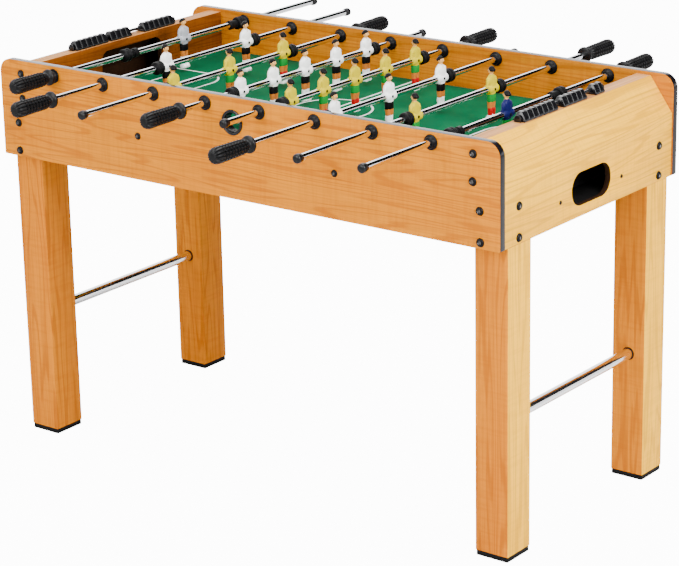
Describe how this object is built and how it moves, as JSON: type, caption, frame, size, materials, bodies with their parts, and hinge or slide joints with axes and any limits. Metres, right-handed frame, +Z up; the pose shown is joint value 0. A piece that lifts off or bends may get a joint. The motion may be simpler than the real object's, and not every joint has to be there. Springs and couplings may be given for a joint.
{
  "type": "foosball table",
  "caption": "Free-standing table football game: a wood-grain cabinet on square legs, with sliding and turning player rods across a green field, end goals and bead scorers.",
  "frame": {"origin": "on the floor, under the middle of the whole table as it stands, rods included; the middle of the cabinet is 30 mm behind it", "axes": "+X along the playing field to the right, +Y to the back, +Z up"},
  "size_m": [1.215, 1.1351, 0.8317],
  "materials": {
    "panel_laminate": "satin wood-grain laminate on board, black edge band",
    "end_laminate": "satin wood-grain laminate on board",
    "leg_laminate": "satin wood-grain laminate, grain upright",
    "field_green": "printed green board with white lines",
    "chrome_tube": "polished steel tube",
    "grip_black": "moulded black plastic",
    "bumper_rubber": "black rubber",
    "black_plastic": "moulded black plastic",
    "white_player": "painted moulded plastic, white shirt and black shorts",
    "yellow_player": "painted moulded plastic, yellow shirt and green shorts"
  },
  "bodies": {
    "cabinet": {"side_panel_front": "panel_laminate", "side_panel_back": "panel_laminate", "end_box_left": "end_laminate", "end_box_right": "end_laminate", "playing_field": "field_green", "leg_front_left": "leg_laminate", "leg_back_left": "leg_laminate", "leg_front_right": "leg_laminate", "leg_back_right": "leg_laminate", "leg_brace_left": "chrome_tube", "leg_brace_right": "chrome_tube", "ball_entry_cup": "black_plastic"},
    "rod_1_bumpers": {"rod_1_bumper": "bumper_rubber"},
    "rod_1": {"rod_1_tube": "chrome_tube", "rod_1_grip": "grip_black", "rod_1_goalkeeper": "white_player"},
    "rod_2_bumpers": {"rod_2_bumper": "bumper_rubber"},
    "rod_2": {"rod_2_tube": "chrome_tube", "rod_2_grip": "grip_black", "rod_2_player_1": "white_player", "rod_2_player_2": "white_player"},
    "rod_3_bumpers": {"rod_3_bumper": "bumper_rubber"},
    "rod_3": {"rod_3_tube": "chrome_tube", "rod_3_grip": "grip_black", "rod_3_player_1": "yellow_player", "rod_3_player_2": "yellow_player", "rod_3_player_3": "yellow_player"},
    "rod_4_bumpers": {"rod_4_bumper": "bumper_rubber"},
    "rod_4": {"rod_4_tube": "chrome_tube", "rod_4_grip": "grip_black", "rod_4_player_1": "white_player", "rod_4_player_2": "white_player", "rod_4_player_3": "white_player", "rod_4_player_4": "white_player", "rod_4_player_5": "white_player"},
    "rod_5_bumpers": {"rod_5_bumper": "bumper_rubber"},
    "rod_5": {"rod_5_tube": "chrome_tube", "rod_5_grip": "grip_black", "rod_5_player_1": "yellow_player", "rod_5_player_2": "yellow_player", "rod_5_player_3": "yellow_player", "rod_5_player_4": "yellow_player", "rod_5_player_5": "yellow_player"},
    "rod_6_bumpers": {"rod_6_bumper": "bumper_rubber"},
    "rod_6": {"rod_6_tube": "chrome_tube", "rod_6_grip": "grip_black", "rod_6_player_1": "white_player", "rod_6_player_2": "white_player", "rod_6_player_3": "white_player"},
    "rod_7_bumpers": {"rod_7_bumper": "bumper_rubber"},
    "rod_7": {"rod_7_tube": "chrome_tube", "rod_7_grip": "grip_black", "rod_7_player_1": "yellow_player", "rod_7_player_2": "yellow_player"},
    "rod_8_bumpers": {"rod_8_bumper": "bumper_rubber"},
    "rod_8": {"rod_8_tube": "chrome_tube", "rod_8_grip": "grip_black", "rod_8_goalkeeper": "yellow_player"},
    "score_beads_left": {"score_beads_left": "black_plastic"},
    "score_beads_right": {"score_beads_right": "black_plastic"}
  },
  "joints": [
    {"name": "rod_1_slide", "type": "slide", "parent": "cabinet", "child": "rod_1_bumpers", "axis": [0, 1, 0], "range_m": [-0.18117, 0.00183]},
    {"name": "rod_1_spin", "type": "hinge", "parent": "rod_1_bumpers", "child": "rod_1", "pos_m": [-0.45937, 0.03, 0.7905], "axis": [0, 1, 0], "continuous": true},
    {"name": "rod_2_slide", "type": "slide", "parent": "cabinet", "child": "rod_2_bumpers", "axis": [0, 1, 0], "range_m": [-0.13176, 0.11224]},
    {"name": "rod_2_spin", "type": "hinge", "parent": "rod_2_bumpers", "child": "rod_2", "pos_m": [-0.32812, 0.03, 0.7905], "axis": [0, 1, 0], "continuous": true},
    {"name": "rod_3_slide", "type": "slide", "parent": "cabinet", "child": "rod_3_bumpers", "axis": [0, 1, 0], "range_m": [-0.00231, 0.15169]},
    {"name": "rod_3_spin", "type": "hinge", "parent": "rod_3_bumpers", "child": "rod_3", "pos_m": [-0.19687, 0.03, 0.7905], "axis": [0, 1, 0], "continuous": true},
    {"name": "rod_4_slide", "type": "slide", "parent": "cabinet", "child": "rod_4_bumpers", "axis": [0, 1, 0], "range_m": [-0.0483, 0.0437]},
    {"name": "rod_4_spin", "type": "hinge", "parent": "rod_4_bumpers", "child": "rod_4", "pos_m": [-0.06563, 0.03, 0.7905], "axis": [0, 1, 0], "continuous": true},
    {"name": "rod_5_slide", "type": "slide", "parent": "cabinet", "child": "rod_5_bumpers", "axis": [0, 1, 0], "range_m": [-0.03818, 0.05382]},
    {"name": "rod_5_spin", "type": "hinge", "parent": "rod_5_bumpers", "child": "rod_5", "pos_m": [0.06563, 0.03, 0.7905], "axis": [0, 1, 0], "continuous": true},
    {"name": "rod_6_slide", "type": "slide", "parent": "cabinet", "child": "rod_6_bumpers", "axis": [0, 1, 0], "range_m": [-0.00308, 0.15092]},
    {"name": "rod_6_spin", "type": "hinge", "parent": "rod_6_bumpers", "child": "rod_6", "pos_m": [0.19687, 0.03, 0.7905], "axis": [0, 1, 0], "continuous": true},
    {"name": "rod_7_slide", "type": "slide", "parent": "cabinet", "child": "rod_7_bumpers", "axis": [0, 1, 0], "range_m": [-0.07564, 0.16836]},
    {"name": "rod_7_spin", "type": "hinge", "parent": "rod_7_bumpers", "child": "rod_7", "pos_m": [0.32812, 0.03, 0.7905], "axis": [0, 1, 0], "continuous": true},
    {"name": "rod_8_slide", "type": "slide", "parent": "cabinet", "child": "rod_8_bumpers", "axis": [0, 1, 0], "range_m": [-0.02745, 0.15555]},
    {"name": "rod_8_spin", "type": "hinge", "parent": "rod_8_bumpers", "child": "rod_8", "pos_m": [0.45937, 0.03, 0.7905], "axis": [0, 1, 0], "continuous": true},
    {"name": "left_score_slide", "type": "slide", "parent": "cabinet", "child": "score_beads_left", "axis": [0, 1, 0], "range_m": [-0.032, 0.002]},
    {"name": "right_score_slide", "type": "slide", "parent": "cabinet", "child": "score_beads_right", "axis": [0, 1, 0], "range_m": [-0.009, 0.029]}
  ]
}
